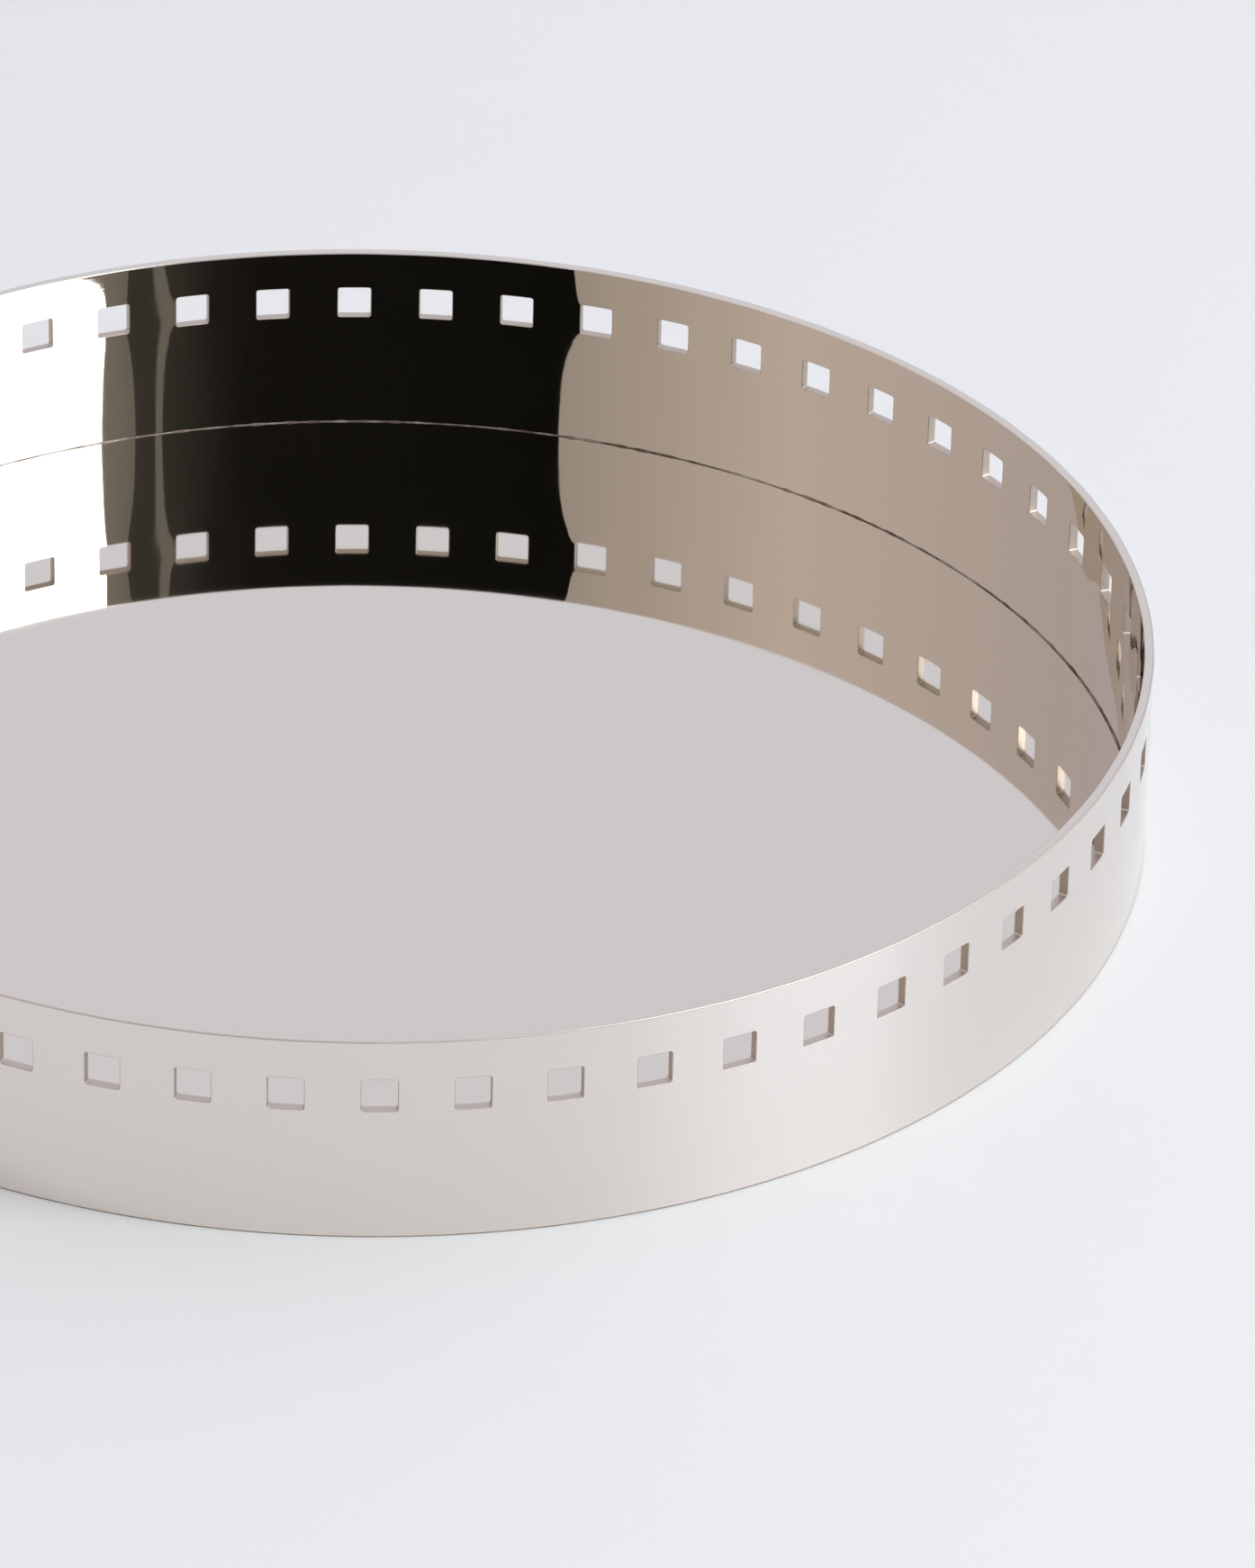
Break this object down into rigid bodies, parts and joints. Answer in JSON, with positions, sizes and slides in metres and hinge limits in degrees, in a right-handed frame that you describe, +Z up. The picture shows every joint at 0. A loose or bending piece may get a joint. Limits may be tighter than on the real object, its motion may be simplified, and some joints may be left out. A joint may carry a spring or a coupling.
{
  "type": "round gallery tray",
  "caption": "Round polished metal tray with a flat mirror-bright base and an upright wall pierced by a row of small square holes near the rim.",
  "frame": {"origin": "centre of the round foot, in the plane of the surface that the tray stands on", "axes": "+Z up along the tray's axis of symmetry; +X lies midway between two of the square holes, and the wall's butt joint is at -X"},
  "size_m": [0.318, 0.318, 0.044],
  "materials": {
    "wall_plate": "polished",
    "base_plate": "polished",
    "braze": "satin"
  },
  "bodies": {
    "root": {"wall_band": "wall_plate", "base_disc": "base_plate", "base_braze": "braze", "band_joint": "braze"}
  },
  "joints": []
}
